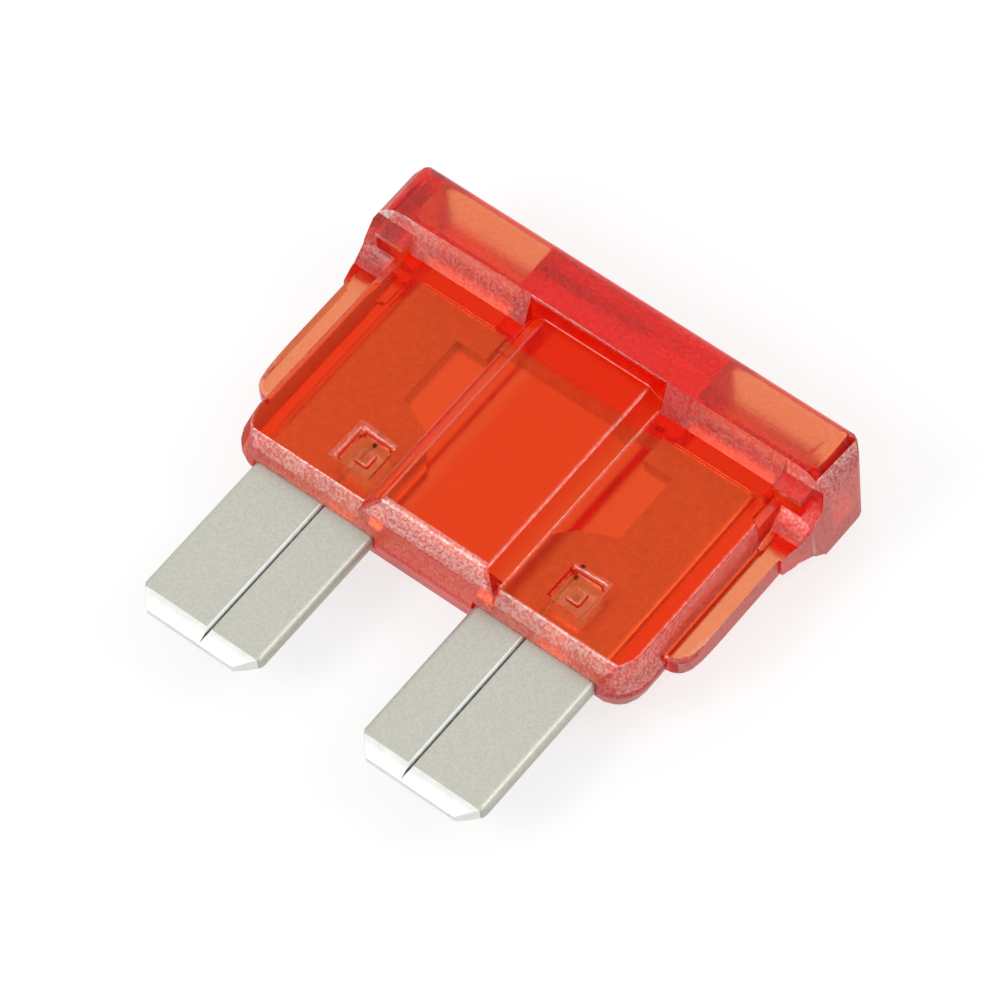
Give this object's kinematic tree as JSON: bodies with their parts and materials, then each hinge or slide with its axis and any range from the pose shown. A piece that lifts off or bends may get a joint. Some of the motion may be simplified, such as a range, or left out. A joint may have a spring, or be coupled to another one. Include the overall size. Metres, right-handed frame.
{
  "type": "automotive blade fuse",
  "caption": "Plug-in blade fuse in a clear red plastic housing, with flat metal blades joined inside by a thin link.",
  "frame": {"origin": "under the middle of the fuse, on the plane of the head's back face", "axes": "+Z out of the front face, +Y from the blade tips to the head, +X across the fuse to the right"},
  "size_m": [0.019, 0.0182, 0.005],
  "materials": {
    "housing": "clear red moulded plastic, satin from the mould, thin parts salmon and thick parts deep red",
    "metal": "matte tinned zinc alloy, warm grey, coined bright at the tips"
  },
  "bodies": {
    "root": {"housing": "housing", "fuse_element": "metal"}
  },
  "joints": []
}
